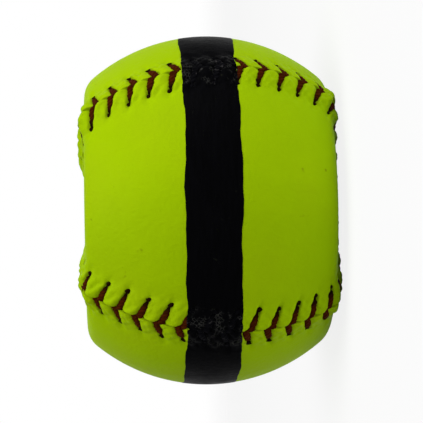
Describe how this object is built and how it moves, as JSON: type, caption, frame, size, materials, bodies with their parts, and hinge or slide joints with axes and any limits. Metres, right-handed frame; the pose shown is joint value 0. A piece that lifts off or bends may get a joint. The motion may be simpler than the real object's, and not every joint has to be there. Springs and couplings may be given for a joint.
{
  "type": "pitching trainer ball",
  "caption": "Softball with two flat sides for practising spin: a laced two-piece leather cover with raised seams over a moulded core, and a painted stripe round the spin plane.",
  "frame": {"origin": "centre of the ball, midway between the two flats", "axes": "+Z is the spin axis, from the lower flat to the upper flat; -Y is the side with the lobe that faces the picture's camera; +X is the top of the picture"},
  "size_m": [0.0972, 0.0972, 0.0714],
  "materials": {
    "core": "moulded foam, matt",
    "cement": "dried latex, satin",
    "cover_leather": "fine grain, satin",
    "lacing_thread": "twisted and waxed",
    "stripe_paint": "brushed-on paint, satin"
  },
  "bodies": {
    "root": {"core": "core", "upper_cement": "cement", "lower_cement": "cement", "upper_cover": "cover_leather", "lower_cover": "cover_leather", "lacing_thread_first": "lacing_thread", "lacing_thread_second": "lacing_thread", "spin_stripe": "stripe_paint"}
  },
  "joints": []
}
